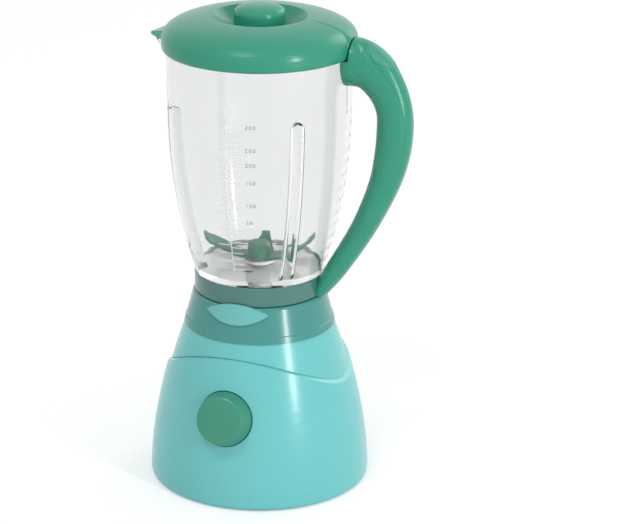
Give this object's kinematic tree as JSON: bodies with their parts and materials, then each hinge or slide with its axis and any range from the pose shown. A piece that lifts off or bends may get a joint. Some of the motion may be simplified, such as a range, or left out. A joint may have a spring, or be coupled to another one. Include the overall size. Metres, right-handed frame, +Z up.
{
  "type": "toy blender",
  "caption": "Toy kitchen blender: clear jug with a handle, measuring scale and stub blades under a domed lid, on a tapered battery base with a round push button.",
  "frame": {"origin": "on the blender's upright axis, in the plane of the base's foot rim", "axes": "+Z up along the axis, the front with the push button and badge faces -Y, the handle is at +X and the pouring lip at -X"},
  "size_m": [0.1427, 0.1209, 0.2578],
  "materials": {
    "shell_teal": "light teal glossy moulded plastic",
    "lid_green": "sea green glossy moulded plastic",
    "smoke_teal": "smoky grey green moulded plastic, slightly translucent",
    "badge_teal": "pale teal plastic plate with no print",
    "clear_plastic": "clear moulded plastic",
    "scale_white": "raised pale marks",
    "amber_lens": "amber lamp lens",
    "steel": "plain steel",
    "dark_rubber": "dark soft rubber",
    "dark_plastic": "dark matt plastic",
    "white_plastic": "off-white moulded plastic",
    "battery_wrap": "plain dark battery sleeve",
    "board_green": "green circuit board lacquer"
  },
  "bodies": {
    "base": {"base_lower": "shell_teal", "base_upper": "shell_teal", "bottom_cover": "shell_teal", "base_screws": "steel", "base_pads": "dark_rubber", "battery_box": "white_plastic", "battery_1": "battery_wrap", "battery_2": "battery_wrap", "battery_3": "battery_wrap", "contact_plates": "steel", "contact_springs": "steel", "speaker": "dark_plastic", "circuit_board": "board_green", "button_spring": "steel", "button_guide": "white_plastic", "button_screws": "steel", "switch_board": "board_green", "motor": "steel", "motor_screws": "steel", "gear_plate": "white_plastic", "gear_screws": "steel", "drive_bush": "white_plastic", "lamp": "amber_lens", "collar": "smoke_teal", "collar_screws": "steel", "badge": "badge_teal"},
    "battery_door": {"battery_door": "shell_teal", "door_screw": "steel"},
    "button": {"button": "lid_green", "button_pad": "dark_rubber"},
    "motor_spindle": {"motor_pinion": "white_plastic"},
    "drive": {"drive_gear": "white_plastic", "drive_shaft": "steel", "drive_clip": "steel", "drive_dog": "dark_plastic"},
    "jug": {"jug_foot": "smoke_teal", "jug": "clear_plastic", "jug_scale": "scale_white", "blade_bush": "white_plastic", "handle": "lid_green", "handle_strip": "lid_green", "handle_screw": "steel"},
    "blade": {"blade": "lid_green", "blade_shaft": "steel", "blade_dog": "dark_plastic"},
    "lid": {"lid": "lid_green"},
    "cap": {"lid_cap": "lid_green"}
  },
  "joints": [
    {"name": "button_press", "type": "slide", "parent": "base", "child": "button", "axis": [0, 0.9739, -0.2271], "range_m": [0, 0.003], "stiffness_N_per_m": 300, "springref_m": -0.003, "deforming": ["button_spring"]},
    {"name": "drive_spin", "type": "hinge", "parent": "base", "child": "drive", "pos_m": [0, 0, 0], "axis": [0, 0, 1], "continuous": true},
    {"name": "pinion_spin", "type": "hinge", "parent": "base", "child": "motor_spindle", "pos_m": [0, 0.02, 0], "axis": [0, 0, 1], "continuous": true},
    {"name": "jug_lift", "type": "slide", "parent": "base", "child": "jug", "axis": [0, 0, 1], "range_m": [0, 0.06]},
    {"name": "blade_spin", "type": "hinge", "parent": "jug", "child": "blade", "pos_m": [0, 0, 0], "axis": [0, 0, 1], "continuous": true},
    {"name": "lid_lift", "type": "slide", "parent": "jug", "child": "lid", "axis": [0, 0, 1], "range_m": [0, 0.04]},
    {"name": "cap_lift", "type": "slide", "parent": "lid", "child": "cap", "axis": [0, 0, 1], "range_m": [0, 0.03]},
    {"name": "door_off", "type": "slide", "parent": "base", "child": "battery_door", "axis": [0, 0, -1], "range_m": [0, 0.02]}
  ],
  "couplings": [
    {"joint": "pinion_spin", "follows": "drive_spin", "ratio": -4},
    {"joint": "blade_spin", "follows": "drive_spin", "ratio": 1}
  ]
}
